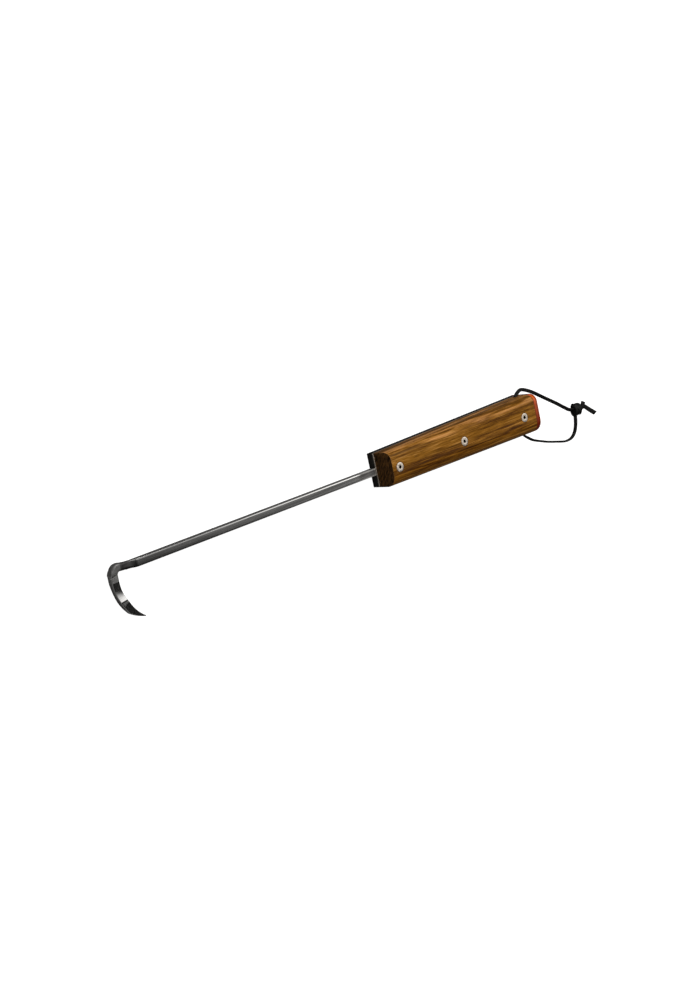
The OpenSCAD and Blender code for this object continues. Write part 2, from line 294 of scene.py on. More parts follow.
    fibres = look.noise(look.scaled(bent, (60.0, 1900.0, 1900.0), (1.0, 8.0, 2.0)), detail=4.0)
    rough = look.span(fibres, 0.3, 0.7, 0.33, 0.48)
    rough = look.maths("ADD", rough, look.maths("MULTIPLY", pore, 0.25))
    rough = look.maths("ADD", rough, look.maths("MULTIPLY", end, 0.2))
    height = look.maths("SUBTRACT", look.maths("MULTIPLY", fibres, 0.5), pore)
    return look.surface(
        Base_Color=colour,
        Roughness=rough,
        Normal=look.relief(height, 0.00012, 0.6),
        Specular_IOR_Level=0.05,
    )


def rod_look():
    """Brushed steel along the rod, dull and darker where it was forged, polished where it was ground."""
    look = Look("rod_steel")
    flow = look.attribute("flow", "Vector")
    ground = look.attribute("ground")
    forged = look.attribute("forged")

    lines = look.noise(look.scaled(flow, (45.0, 4200.0, 4200.0)), detail=5.0, roughness=0.6)
    long_lines = look.noise(look.scaled(flow, (9.0, 900.0, 900.0), (4.0, 2.0, 1.0)), detail=3.0)
    cross = look.noise(look.scaled(flow, (5200.0, 260.0, 260.0), (2.0, 5.0, 1.0)), detail=4.0)
    scale = look.scaled(flow, (420.0, 420.0, 420.0), (7.0, 3.0, 5.0))
    scale = look.noise(scale, detail=6.0, roughness=0.65)
    blotch = look.noise(look.scaled(flow, (110.0, 160.0, 160.0), (1.0, 9.0, 3.0)), detail=4.0)

    rod_colour = look.colours(
        look.maths("ADD", look.maths("MULTIPLY", lines, 0.6), look.maths("MULTIPLY", long_lines, 0.4)),
        [(0.34, (0.09, 0.09, 0.09)), (0.50, (0.27, 0.27, 0.27)), (0.66, (0.50, 0.50, 0.50))],
    )
    forged_colour = look.colours(
        look.maths("ADD", look.maths("MULTIPLY", scale, 0.5), look.maths("MULTIPLY", blotch, 0.5)),
        [(0.35, (0.08, 0.08, 0.08)), (0.50, (0.15, 0.15, 0.15)), (0.65, (0.22, 0.22, 0.22))],
    )
    ground_colour = look.colours(cross, [(0.3, (0.46, 0.46, 0.46)), (0.7, (0.64, 0.64, 0.64))])
    colour = look.blend(forged, rod_colour, forged_colour)
    colour = look.blend(ground, colour, ground_colour)

    rod_rough = look.span(lines, 0.3, 0.7, 0.11, 0.20)
    forged_rough = look.span(scale, 0.3, 0.7, 0.40, 0.56)
    ground_rough = look.span(cross, 0.3, 0.7, 0.10, 0.17)
    rough = look.blend(forged, rod_rough, forged_rough)
    rough = look.blend(ground, rough, ground_rough)

    # The brushed rod scatters more than the claw, most of all close to the grip
    scatter = look.span(look.axis(flow, "X"), 0.003, 0.030, 0.50, 0.09, soft=True)
    scatter = look.maths("MAXIMUM", scatter, look.maths("MULTIPLY", forged, 0.5))
    scatter = look.maths("MULTIPLY", scatter, look.maths("SUBTRACT", 1.0, ground))
    metallic = look.maths("SUBTRACT", 1.0, scatter)

    # Its edges are rubbed bright. It is made darker towards the claw, and the neck keeps some black
    # fire scale
    rubbed = look.span(look.axis(flow, "X"), 0.05, 0.19, 0.85, 0.10)
    rubbed = look.maths("MULTIPLY", look.attribute("worn"), rubbed)
    colour = look.blend(rubbed, colour, (0.72, 0.72, 0.71, 1.0))
    claw_darkening = look.span(look.axis(flow, "X"), 0.02, 0.21, 0.0, 0.55)
    claw_darkening = look.maths("MULTIPLY", claw_darkening, look.maths("SUBTRACT", 1.0, ground))
    colour = look.blend(claw_darkening, colour, (0.060, 0.060, 0.060, 1.0))
    soot = look.maths("MULTIPLY", look.attribute("soot"), look.span(blotch, 0.35, 0.60, 1.0, 0.88))
    colour = look.blend(soot, colour, (0.006, 0.006, 0.006, 1.0))

    height = look.blend(forged, look.maths("MULTIPLY", lines, 0.12), scale)
    height = look.blend(ground, height, look.maths("MULTIPLY", cross, 0.10))
    smooth_edge = look.maths("MULTIPLY", look.attribute("worn"), 0.9)
    height = look.blend(smooth_edge, height, (0.06, 0.06, 0.06, 1.0))
    rough = look.blend(smooth_edge, rough, (0.15, 0.15, 0.15, 1.0))
    return look.surface(
        Base_Color=colour,
        Metallic=metallic,
        Roughness=rough,
        Normal=look.relief(height, 0.00006, 0.8),
    )


def satin_metal_look(name, dark, light, grain=(60.0, 2600.0, 2600.0), rough=(0.28, 0.42)):
    """Satin metal with fine, straight brushing."""
    look = Look(name)
    place = look.place()
    lines = look.noise(look.scaled(place, grain), detail=5.0, roughness=0.6)
    cloud = look.noise(look.scaled(place, (90.0, 90.0, 90.0)), detail=3.0)
    value = look.maths("ADD", look.maths("MULTIPLY", lines, 0.65), look.maths("MULTIPLY", cloud, 0.35))
    return look.surface(
        Base_Color=look.colours(value, [(0.35, dark), (0.65, light)]),
        Metallic=1.0,
        Roughness=look.span(lines, 0.3, 0.7, *rough),
        Normal=look.relief(lines, 0.00003, 0.7),
    )


def turned_metal_look(name, centre, along, dark, light, socket_top=None):
    """Satin metal with fine rings turned round an axis through centre; along is the axis's index.

    Below the height socket_top it is painted dark: painted shade for the inside of a screw's socket.
    """
    look = Look(name)
    keep = [1.0, 1.0, 1.0]
    keep[along] = 0.0
    offset = look.vector_maths("SUBTRACT", look.place(), centre)
    distance = look.vector_maths("LENGTH", look.vector_maths("MULTIPLY", offset, keep))
    rings = look.maths("SINE", look.maths("MULTIPLY", distance, 2.0 * math.pi / TURNING_PITCH))
    across_rings = look.maths("MULTIPLY", distance, 9000.0)
    across_rings = look.add("ShaderNodeCombineXYZ", {"X": across_rings}).outputs[0]
    uneven = look.noise(across_rings, detail=3.0)
    specks = look.noise(look.scaled(look.place(), (900.0, 900.0, 900.0)), detail=5.0, roughness=0.7)
    value = look.maths("ADD", look.maths("MULTIPLY", uneven, 0.6), look.maths("MULTIPLY", specks, 0.4))
    height = look.maths("ADD", look.maths("MULTIPLY", rings, 0.25), uneven)
    colour = look.colours(value, [(0.36, dark), (0.62, light)])
    if socket_top is not None:
        # Painted shade inside the socket
        painted_socket_shade = look.span(look.axis(look.place(), "Z"), socket_top - 0.5 * MM, socket_top, 0.97, 0.0)
        colour = look.blend(painted_socket_shade, colour, (0.004, 0.003, 0.003, 1.0))
    return look.surface(
        Base_Color=colour,
        Metallic=1.0,
        Roughness=look.span(specks, 0.3, 0.7, 0.30, 0.44),
        Normal=look.relief(height, 0.00002, 0.7),
    )


def back_look():
    """Matt black fibre board: fine cloth layers show on its edges."""
    look = Look("black_board")
    place = look.place()
    layers = look.maths("SINE", look.maths("MULTIPLY", look.axis(place, "Z"), 2.0 * math.pi / CLOTH_PITCH))
    weave = look.noise(look.scaled(place, (1500.0, 1500.0, 3500.0)), detail=4.0, roughness=0.6)
    cloud = look.noise(look.scaled(place, (70.0, 200.0, 200.0)), detail=4.0)
    value = look.maths("ADD", look.maths("MULTIPLY", weave, 0.6), look.maths("MULTIPLY", cloud, 0.4))
    colour = look.colours(
        value,
        [(0.36, (0.003, 0.0028, 0.0026)), (0.50, (0.007, 0.0065, 0.006)), (0.66, (0.016, 0.0145, 0.013))],
    )
    height = look.maths("ADD", look.maths("MULTIPLY", layers, 0.12), weave)
    return look.surface(
        Base_Color=colour,
        Roughness=look.span(weave, 0.3, 0.7, 0.42, 0.62),
        Specular_IOR_Level=0.14,
        Normal=look.relief(height, 0.00006, 0.6),
    )


def cap_look():
    """Semi-gloss orange moulded plastic, faintly mottled, with fine handling scuffs."""
    look = Look("orange_cap")
    place = look.place()
    grain = look.noise(look.scaled(place, (1300.0, 1300.0, 1300.0)), detail=4.0, roughness=0.6)
    cloud = look.noise(look.scaled(place, (160.0, 160.0, 160.0)), detail=3.0)
    scuffs = look.noise(look.scaled(place, (300.0, 2600.0, 500.0), turn=(0.5, 0.3, 0.2)), detail=3.0)
    scuff = look.span(scuffs, 0.62, 0.72)
    value = look.maths("ADD", look.maths("MULTIPLY", grain, 0.35), look.maths("MULTIPLY", cloud, 0.65))
    colour = look.colours(value, [(0.36, (0.36, 0.048, 0.004)), (0.64, (0.54, 0.100, 0.012))])
    colour = look.blend(look.maths("MULTIPLY", scuff, 0.15), colour, (0.62, 0.20, 0.07, 1.0))

    # Painted shade towards its lower edge and on its upper and lower sides, and a painted highlight on its
    # rounded rim
    # Painted shade, darker towards the lower edge
    lower = look.span(look.axis(place, "Y"), -0.006, 0.0185, 0.95, 0.0)
    colour = look.blend(lower, colour, (0.085, 0.005, 0.001, 1.0))
    painted_rim_highlight = look.maths("ABSOLUTE", look.axis(look.facing(), "X"))
    painted_rim_highlight = look.maths("MULTIPLY", look.span(painted_rim_highlight, 0.10, 0.35), look.span(painted_rim_highlight, 0.80, 0.55))
    colour = look.blend(look.maths("MULTIPLY", painted_rim_highlight, 0.45), colour, (0.75, 0.20, 0.035, 1.0))
    # Painted shade on the flat upper and lower sides
    side = look.span(look.maths("ABSOLUTE", look.axis(look.facing(), "Y")), 0.93, 0.99, 0.0, 0.9)
    colour = look.blend(side, colour, (0.040, 0.006, 0.002, 1.0))

    # A dark joint line next to the wood, and a finer line before the rim
    along = look.axis(place, "X")
    seam = look.span(along, CAP_X + 0.4 * MM, CAP_X + 1.0 * MM, 0.9, 0.0)
    line = look.maths("ABSOLUTE", look.maths("SUBTRACT", along, CAP_LINE_X))
    seam = look.maths("MAXIMUM", seam, look.span(line, 0.35 * MM, 0.75 * MM, 0.8, 0.0))
    colour = look.blend(seam, colour, (0.085, 0.005, 0.001, 1.0))

    rough = look.maths("ADD", look.span(grain, 0.3, 0.7, 0.26, 0.38), look.maths("MULTIPLY", scuff, 0.18))
    return look.surface(
        Base_Color=colour,
        Roughness=rough,
        Normal=look.relief(grain, 0.00004, 0.5),
        Specular_IOR_Level=0.18,
    )


def lace_look():
    """Black leather lace: fine pores and creases, a little rubbed on its edges."""
    look = Look("black_leather")
    place = look.place()
    pores = look.add(
        "ShaderNodeTexVoronoi",
        {"Vector": place, "Scale": 2600.0},
        feature="DISTANCE_TO_EDGE",
    ).outputs["Distance"]
    pores = look.span(pores, 0.0, 0.18)
    creases = look.noise(look.scaled(place, (700.0, 700.0, 700.0)), detail=5.0, roughness=0.65)
    rubbed = look.span(look.noise(look.scaled(place, (230.0, 230.0, 230.0)), detail=4.0), 0.56, 0.70)
    edge = look.attribute("edge")
    wear = look.maths("MULTIPLY", rubbed, look.maths("ADD", look.maths("MULTIPLY", edge, 0.8), 0.2))
    colour = look.colours(creases, [(0.35, (0.0008, 0.0008, 0.0008)), (0.65, (0.0028, 0.0026, 0.0025))])
    colour = look.blend(look.maths("MULTIPLY", wear, 0.4), colour, (0.016, 0.014, 0.012, 1.0))
    height = look.maths("ADD", look.maths("MULTIPLY", pores, 0.4), creases)
    return look.surface(
        Base_Color=colour,
        Roughness=look.span(creases, 0.3, 0.7, 0.50, 0.66),
        Specular_IOR_Level=0.16,
        Normal=look.relief(height, 0.00010, 0.7),
    )


def paint(obj, material):
    """Gives every slot of obj this material."""
    if not obj.material_slots:
        obj.data.materials.append(material)
    for entry in obj.material_slots:
        entry.link = "OBJECT"
        entry.material = material


# ---------------------------------------------------------------------------
# Edge finishing for the CAD nodes, as modifiers
# ---------------------------------------------------------------------------

SHARP_ANGLE = math.radians(35.0)
JOIN_GAP = 0.0000005


class Geometry:
    """A geometry node group that changes one mesh."""

    def __init__(self, name):
        self.group = bpy.data.node_groups.new(name, "GeometryNodeTree")
        self.group.interface.new_socket("Geometry", in_out="INPUT", socket_type="NodeSocketGeometry")
        self.group.interface.new_socket("Geometry", in_out="OUTPUT", socket_type="NodeSocketGeometry")
        self.shape = self.group.nodes.new("NodeGroupInput").outputs[0]

    def add(self, kind, inputs=None, **settings):
        return add_node(self.group, kind, inputs, **settings)

    def step(self, kind, inputs=None, **settings):
        """Adds a node that takes the mesh and hands it on."""
        node = self.add(kind, inputs, **settings)
        self.group.links.new(self.shape, node.inputs[0])
        self.shape = node.outputs[0]
        return node

    def sharp_edges(self):
        angle = self.add("GeometryNodeInputMeshEdgeAngle").outputs[0]
        limits = {0: angle, 1: SHARP_ANGLE}
        return self.add("FunctionNodeCompare", limits, operation="GREATER_THAN").outputs[0]

    def finish(self):
        out = self.group.nodes.new("NodeGroupOutput")
        self.group.links.new(self.shape, out.inputs[0])
        return self.group


def weights_group(name, front, rest, front_x):
    """Joins the mesh's split corners and weights its sharp edges: front for those before front_x."""
    made = Geometry(name)
    made.step("GeometryNodeMergeByDistance", {"Distance": JOIN_GAP})
    made.step("GeometryNodeRemoveAttribute", {"Name": "custom_normal"})
    place = made.add("GeometryNodeInputPosition").outputs[0]
    x = made.add("ShaderNodeSeparateXYZ", {0: place}).outputs[0]
    is_front = made.add("FunctionNodeCompare", {0: x, 1: front_x}, operation="LESS_THAN").outputs[0]
    weight = made.add(
        "GeometryNodeSwitch", {"Switch": is_front, "False": rest, "True": front}, input_type="FLOAT"
    ).outputs[0]
    made.step(
        "GeometryNodeStoreNamedAttribute",
        {"Selection": made.sharp_edges(), "Name": "bevel_weight_edge", "Value": weight},
        data_type="FLOAT",
        domain="EDGE",
    )
    return made.finish()


def shading_group(name):
    """Smooth faces with crisp edges above the sharp angle."""
    made = Geometry(name)
    made.step("GeometryNodeSetShadeSmooth", {"Shade Smooth": True}, domain="FACE")
    crisp = {"Selection": made.sharp_edges(), "Shade Smooth": False}
    made.step("GeometryNodeSetShadeSmooth", crisp, domain="EDGE")
    return made.finish()


smooth_shading = shading_group("smooth_shading")


def soften(obj, width, front_width=None, front_x=-1.0, segments=3):
    """Rounds the sharp edges of a CAD node by width; edges before front_x get front_width."""
    widest = max(width, front_width or 0.0)
    weights = weights_group(
        "edges_of_" + obj.name, (front_width or width) / widest, width / widest, front_x
    )
    first = obj.modifiers.new("join_and_weigh", "NODES")
    first.node_group = weights
    bevel = obj.modifiers.new("soft_edges", "BEVEL")
    bevel.limit_method = "WEIGHT"
    bevel.width = widest
    bevel.segments = segments
    bevel.use_clamp_overlap = True
    bevel.harden_normals = False
    last = obj.modifiers.new("shading", "NODES")
    last.node_group = smooth_shading


# ---------------------------------------------------------------------------
# Swept meshes
# ---------------------------------------------------------------------------


def sweep(name, rings, attributes=None, closed=False):
    """Skin over rings of points. attributes maps a name to rings of numbers or 3-tuples."""
    count = len(rings[0])
    points = [point for ring in rings for point in ring]
    faces = []
    last = len(rings) if closed else len(rings) - 1
    for j in range(last):
        below = j * count
        above = ((j + 1) % len(rings)) * count
        for i in range(count):
            k = (i + 1) % count
            faces.append((below + i, above + i, above + k, below + k))
    if not closed:
        faces.append(tuple(range(count)))
        faces.append(tuple(reversed(range((len(rings) - 1) * count, len(rings) * count))))
    mesh = bpy.data.meshes.new(name)
    mesh.from_pydata(points, [], faces)
    for key, values in (attributes or {}).items():
        flat = [value for ring in values for value in ring]
        if isinstance(flat[0], tuple):
            layer = mesh.attributes.new(key, "FLOAT_VECTOR", "POINT")
            layer.data.foreach_set("vector", [number for value in flat for number in value])
        else:
            layer = mesh.attributes.new(key, "FLOAT", "POINT")
            layer.data.foreach_set("value", flat)
    mesh.validate()
    mesh.shade_smooth()
    mesh.set_sharp_from_angle(angle=math.radians(40.0))
    obj = bpy.data.objects.new(name, mesh)
    bpy.context.scene.collection.objects.link(obj)
    return obj


def catmull(points, steps):
    """Smooth curve through 3-D points."""
    made = []
    last = len(points) - 1
    for i in range(last):
        p0 = points[max(i - 1, 0)]
        p1 = points[i]
        p2 = points[i + 1]
        p3 = points[min(i + 2, last)]
        for k in range(steps):
            t = k / steps
            made.append(
                0.5
                * (
                    2.0 * p1
                    + (p2 - p0) * t
                    + (2.0 * p0 - 5.0 * p1 + 4.0 * p2 - p3) * t**2
                    + (3.0 * p1 - p0 - 3.0 * p2 + p3) * t**3
                )
            )
    made.append(points[last].copy())
    return made


# ---------------------------------------------------------------------------
# Rod and claw, on the CAD node's own measures (mm and degrees)
# ---------------------------------------------------------------------------

ROD_HALF = 2.75
ROD_CORNER = (1.1, 0.45)
ROD_L = 226.1
ROD_INSIDE = 3.0
ROD_Z = 2.85
NECK_L = 11.7
NECK_BLEND_L = 4.0
NECK_TWIST = -15.0
NECK_THINNING = 0.12
BEND_TWIST = -3.5
NECK_HEADING = 180.0 - 6.0
BEND_R = 5.1
CLAW_HEADING = 270.0 - 6.0
CLAW_R = 34.0
CLAW_SWEEP = 67.0
BEND_SWELL = 0.2
CLAW_HALF = 2.15
HOLLOW_DEPTH = 0.4
KNUCKLE_R = 1.8
KNUCKLE_SWELL = 0.45
GROUND_EDGE_R = 0.4
TIP_HALF = 0.33
TIP_SHIFT = 1.1
SWELL_END = 0.6
INNER_TAPER = 0.55
OUTER_TAPER = 0.68
SIDE_TAPER = 0.53

# How uneven the hammer left the forged surface: a share of its size, and bumps per mm
FORGING_WOBBLE = 0.035
FORGING_BUMPS = 0.42

# Fire scale is left on the neck between these lengths, measured along the bar
SOOT_FROM = ROD_INSIDE + ROD_L - 3.0
SOOT_TO = ROD_INSIDE + ROD_L + NECK_L - 0.5

# The bend's length as a share of the claw's arc, and where the grinding's features lie on that arc,
# on the claw's inner and outer side
BEND_SHARE = BEND_R * (CLAW_HEADING - NECK_HEADING) / (CLAW_R * CLAW_SWEEP)
PLUNGE = (-0.074, -0.015)
PLUNGE_LENGTH = 0.027
HOLLOW_START = (0.112, 0.110)
HOLLOW_MIDDLE = (0.330, 0.245)
HOLLOW_END = (0.478, 0.436)
CREASE_STEP = 0.09

ROD_STEPS = 90
NECK_STEPS = 16
BEND_STEPS = 26
CLAW_STEPS = 150
CORNER_STEPS = 7
SIDE_STEPS = 6


def direction(heading):
    return Vector((math.cos(math.radians(heading)), math.sin(math.radians(heading)), 0.0))


def outward(heading):
    return Vector((math.sin(math.radians(heading)), -math.cos(math.radians(heading)), 0.0))


def bar_ring(outer, inner, half_t, corner):
    """Rectangle with elliptical corners, as (across, along Z) pairs."""
    rx, rz = corner
    corners = [
        (outer - rx, half_t - rz),
        (rx - inner, half_t - rz),
        (rx - inner, rz - half_t),
        (outer - rx, rz - half_t),
    ]
    made = []
    for n, (cx, cz) in enumerate(corners):
        for i in range(CORNER_STEPS + 1):
            a = math.radians(90.0 * (n + i / CORNER_STEPS))
            made.append((cx + rx * math.cos(a), cz + rz * math.sin(a)))
        a = math.radians(90.0 * (n + 1))
        start = made[-1]
        nx, nz = corners[(n + 1) % 4]
        end = (nx + rx * math.cos(a), nz + rz * math.sin(a))
        for i in range(1, SIDE_STEPS):
            t = i / SIDE_STEPS
            made.append((mix(start[0], end[0], t), mix(start[1], end[1], t)))
    return made


def bend_edge(u):
    """Radius of the bar's edges: round at the knuckle, crisp where the grinding has cut them."""
    return mix(KNUCKLE_R, GROUND_EDGE_R, smooth(u, PLUNGE[0] - 0.02, PLUNGE[1] + 0.02))


def is_corner(across, up, outer, inner, half_t, corner):
    """Whether a point of bar_ring lies inside one of its rounded corners."""
    rx, rz = corner
    slack = 0.01
    near_side = across > outer - rx + slack or across < rx - inner - slack
    near_face = abs(up) > half_t - rz + slack
    return near_side and near_face


def hook_stations():
    """Stations along the bar: (place, heading, outer, inner, half_t, corner, twist, forged, u)."""
    kink = Vector((-ROD_L, 0.0, 0.0))
    bend_start = kink + NECK_L * direction(NECK_HEADING)
    bend_centre = bend_start - BEND_R * outward(NECK_HEADING)
    bend_end = bend_centre + BEND_R * outward(CLAW_HEADING)
    claw_centre = bend_end - CLAW_R * outward(CLAW_HEADING)
    made = []
    neck_from = NECK_BLEND_L - ROD_L
    for i in range(ROD_STEPS):
        place = Vector((mix(ROD_INSIDE, neck_from, i / (ROD_STEPS - 1)), 0.0, 0.0))
        made.append((place, 180.0, ROD_HALF, ROD_HALF, ROD_HALF, ROD_CORNER, 0.0, 0.0, -1.0))
    first = Vector((neck_from, 0.0, 0.0))
    leg = (bend_start - first).length
    for i in range(1, NECK_STEPS):
        t = i / NECK_STEPS
        a = first + direction(180.0) * leg * 0.36
        b = bend_start - direction(NECK_HEADING) * leg * 0.5
        place = (
            first * (1 - t) ** 3 + a * 3 * t * (1 - t) ** 2 + b * 3 * t**2 * (1 - t) + bend_start * t**3
        )
        heading = mix(180.0, NECK_HEADING, smooth(t, 0.0, 0.75))
        twist = NECK_TWIST * bump_at(t, 0.62, 0.26)
        thin = NECK_THINNING * bump_at(t, 0.6, 0.3)
        corner = tuple(mix(r, KNUCKLE_R, smooth(t, 0.4, 1.0)) for r in ROD_CORNER)
        half = ROD_HALF - thin
        made.append((place, heading, half, half, half, corner, twist, smooth(t, 0.2, 0.7), -1.0))
    for i in range(BEND_STEPS + 1):
        t = i / BEND_STEPS
        heading = mix(NECK_HEADING, CLAW_HEADING, t)
        place = bend_centre + BEND_R * outward(heading)
        swell = ROD_HALF + BEND_SWELL * smooth(t, -0.6, 0.5) + KNUCKLE_SWELL * bump_at(t, 0.36, 0.26)
        twist = BEND_TWIST * (1.0 - smooth(t, 0.0, 0.6))
        u = BEND_SHARE * (t - 1.0)
        corner = (bend_edge(u), bend_edge(u))
        made.append((place, heading, swell, ROD_HALF, ROD_HALF, corner, twist, 1.0, u))
    for i in range(1, CLAW_STEPS + 1):
        u = i / CLAW_STEPS
        heading = CLAW_HEADING + CLAW_SWEEP * u
        place = claw_centre + CLAW_R * outward(heading)
        swollen = ROD_HALF + BEND_SWELL * (1.0 - ramp(u, 0.0, SWELL_END))
        outer = mix(swollen, TIP_HALF - TIP_SHIFT, ramp(u, OUTER_TAPER, 1.0))
        inner = mix(ROD_HALF, TIP_HALF + TIP_SHIFT, ramp(u, INNER_TAPER, 1.0))
        half = mix(ROD_HALF, TIP_HALF, ramp(u, SIDE_TAPER, 1.0))
        edge = min(bend_edge(u), 0.9 * min((outer + inner) / 2.0, half))
        made.append((place, heading, outer, inner, half, (edge, edge), 0.0, 1.0, u))
    return made


def ground_half(u, share):
    """Half thickness of the ground claw, and how far it is ground; share is 0 inside and 1 outside."""
    plunge = mix(*PLUNGE, share)
    start, middle, end = (mix(*pair, share) for pair in (HOLLOW_START, HOLLOW_MIDDLE, HOLLOW_END))
    cut = smooth(u, plunge, plunge + PLUNGE_LENGTH)
    through = 0.5 * ramp(u, start, middle) + 0.5 * ramp(u, middle, end)
    full = mix(ROD_HALF, CLAW_HALF, cut) - HOLLOW_DEPTH * math.sin(math.pi * through)
    step = CREASE_STEP * smooth(u, end, end + 0.010) * (1.0 - smooth(u, 0.6, 1.0))
    return mix(full, TIP_HALF, ramp(u, SIDE_TAPER, 1.0)) - step, cut


def build_hook():
    """The whole bar as one sweep, with attributes that tell its material how each place was worked."""
    rings, flows, grounds, forges, soots, wears = [], [], [], [], [], []
    travelled = 0.0
    before = None
    for place, heading, outer, inner, half, corner, twist, forged, u in hook_stations():
        travelled += (place - before).length if before is not None else 0.0
        before = place
        out = outward(heading)
        turn = math.radians(twist)
        ring, flow, ground_row, forge_row, soot_row, worn_row = [], [], [], [], [], []
        neck_soot = smooth(travelled, SOOT_FROM, SOOT_FROM + 2.0)
        neck_soot *= smooth(travelled, SOOT_TO + 1.5, SOOT_TO)
        for across, up in bar_ring(outer, inner, half, corner):
            ground = 0.0
            if u > -BEND_SHARE:
                share = ramp(across, -inner, outer)
                thickness, ground = ground_half(u, share)
                up *= thickness / half
            a = across * math.cos(turn) - up * math.sin(turn)
            b = across * math.sin(turn) + up * math.cos(turn)
            rough = forged * (1.0 - ground)
            if rough > 0.0:
                spot = Vector((place.x + a * out.x, place.y + a * out.y, b))
                wobble = noise.noise(spot * FORGING_BUMPS)
                a *= 1.0 + FORGING_WOBBLE * rough * wobble
                b *= 1.0 + FORGING_WOBBLE * rough * wobble
            point = (place + out * a) * MM
            point.z = (ROD_Z + b) * MM
            ring.append(point)
            flow.append((travelled * MM, across * MM, up * MM))
            ground_row.append(ground)
            forge_row.append(forged)
            soot_row.append(neck_soot * mix(0.82, 1.0, smooth(across, 1.9, 0.9)))
            worn_row.append((1.0 - forged) * float(is_corner(across, up, outer, inner, half, corner)))
        rings.append(ring)
        flows.append(flow)
        grounds.append(ground_row)
        forges.append(forge_row)
        soots.append(soot_row)
        wears.append(worn_row)
    attributes = {"flow": flows, "ground": grounds, "forged": forges, "soot": soots, "worn": wears}
    hook = sweep("hook", rings, attributes)
    paint(hook, rod_look())
    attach(hook, "tool")
    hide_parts("hook_rod")
    return hook


# ---------------------------------------------------------------------------
# Lace
# ---------------------------------------------------------------------------

LACE_HALF_W = 1.45
LACE_HALF_T = 0.88
LACE_EDGE_R = 0.55
HOLE_X = 161.3
HOLE_Z = 10.6
HOLE_TOP = 17.7
HOLE_BOTTOM = -12.75
LOOP_L = 70.0
CURVE_STEPS = 12
KNOT = Vector((HOLE_X + LOOP_L + 0.5, -9.9, HOLE_Z))
TAIL_ROOT = KNOT + Vector((3.65, 1.5, 0.0))
TAIL_BEND = TAIL_ROOT + Vector((6.2, -0.9, 0.2))
TAIL_DROP = math.radians(35.0)
STUB_ROOT = TAIL_ROOT + Vector((3.9, -0.9, 0.8))
STUB_RISE = math.radians(57.0)
TAIL_L = 15.6
STUB_L = 4.3


def lace_section(half_w, half_t, r):
    """Rounded flat section as (across, through) pairs, with how near each point is to an edge."""
    made = []
    steps = 5
    for cx, cz, start in (
        (half_w - r, half_t - r, 0),
        (r - half_w, half_t - r, 90),
        (r - half_w, r - half_t, 180),
        (half_w - r, r - half_t, 270),
    ):
        for i in range(steps + 1):
            a = math.radians(start + 90.0 * i / steps)
            made.append((cx + r * math.cos(a), cz + r * math.sin(a)))
    return made


def lace_sweep(name, path, sides, widths=None, thicknesses=None, slant=0.0):
    """Flat lace along path (mm). sides holds the direction of the lace's width at each point.

    slant is how far the end is cut on the skew, as a share of the distance from the middle line.
    """
    rings, edges = [], []
    last = len(path) - 1
    for i, point in enumerate(path):
        tangent = (path[min(i + 1, last)] - path[max(i - 1, 0)]).normalized()
        side = sides[i] - tangent * sides[i].dot(tangent)
        side.normalize()
        up = tangent.cross(side)
        half_w = LACE_HALF_W * (widths[i] if widths else 1.0)
        half_t = LACE_HALF_T * (thicknesses[i] if thicknesses else 1.0)
        r = min(LACE_EDGE_R, 0.9 * half_t)
        ring, edge = [], []
        for across, through in lace_section(half_w, half_t, r):
            skew = tangent * across * slant if i == last else Vector()
            ring.append((point + side * across + up * through + skew) * MM)
            edge.append(ramp(abs(across), half_w - 0.6, half_w))
        rings.append(ring)
        edges.append(edge)
    return sweep(name, rings, {"edge": edges})


def turned_sides(path, twists):
    """Width directions across the path in the loop's plane, turned about the path by twists in degrees."""
    made = []
    last = len(path) - 1
    for i, twist in enumerate(twists):
        tangent = (path[min(i + 1, last)] - path[max(i - 1, 0)]).normalized()
        flat = Vector((0.0, 0.0, 1.0)).cross(tangent).normalized()
        made.append(Matrix.Rotation(math.radians(twist), 3, tangent) @ flat)
    return made


def spread(values, steps):
    """Numbers between each value and the next, to go with catmull."""
    made = [mix(a, b, k / steps) for a, b in zip(values, values[1:]) for k in range(steps)]
    return made + [values[-1]]


# Middle line of the loop from the knot, through the hole and back: share of the loop's length, Y in mm,
# twist in degrees. The lower strand lies on edge and the upper one nearly flat.
LOOP_LINE = (
    (0.978, -9.8, 55.0),
    (0.972, -14.0, 64.0),
    (0.957, -19.5, 72.0),
    (0.930, -24.4, 80.0),
    (0.890, -28.2, 88.0),
    (0.830, -30.8, 94.0),
    (0.760, -31.6, 97.0),
    (0.690, -31.3, 95.0),
    (0.600, -29.9, 90.0),
    (0.410, HOLE_BOTTOM - 13.8, 86.0),
    (0.310, HOLE_BOTTOM - 11.6, 86.0),
    (0.160, HOLE_BOTTOM - 7.9, 88.0),
    (0.070, HOLE_BOTTOM - 4.1, 84.0),
    (0.022, HOLE_BOTTOM - 1.7, 70.0),
    (0.0, HOLE_BOTTOM, 50.0),
    (0.0, HOLE_BOTTOM + 3.0, 30.0),
    (0.0, 2.0, 10.0),
    (0.0, HOLE_TOP - 3.0, 0.0),
    (0.004, HOLE_TOP + 0.5, -4.0),
    (0.050, HOLE_TOP + 2.9, -6.0),
    (0.125, HOLE_TOP + 3.8, 0.0),
    (0.280, HOLE_TOP - 0.5, 6.0),
    (0.480, 9.0, 26.0),
    (0.670, 1.2, 12.0),
    (0.800, -4.6, 30.0),
    (0.890, -8.1, 44.0),
    (0.975, -9.0, 50.0),
)


def build_loop():
    """Both strands, from the knot down through the grip and back, as one lace."""
    points = [Vector((HOLE_X + reach * LOOP_L, y, HOLE_Z)) for reach, y, _ in LOOP_LINE]
    twists = spread([twist for _, _, twist in LOOP_LINE], CURVE_STEPS)
    path = catmull(points, CURVE_STEPS)
    lace = lace_sweep("lace_strands", path, turned_sides(path, twists))
    paint(lace, leather)
    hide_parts("lace_inner", "lace_outer_upper", "lace_outer_lower")
    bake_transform(lace)
    return lace


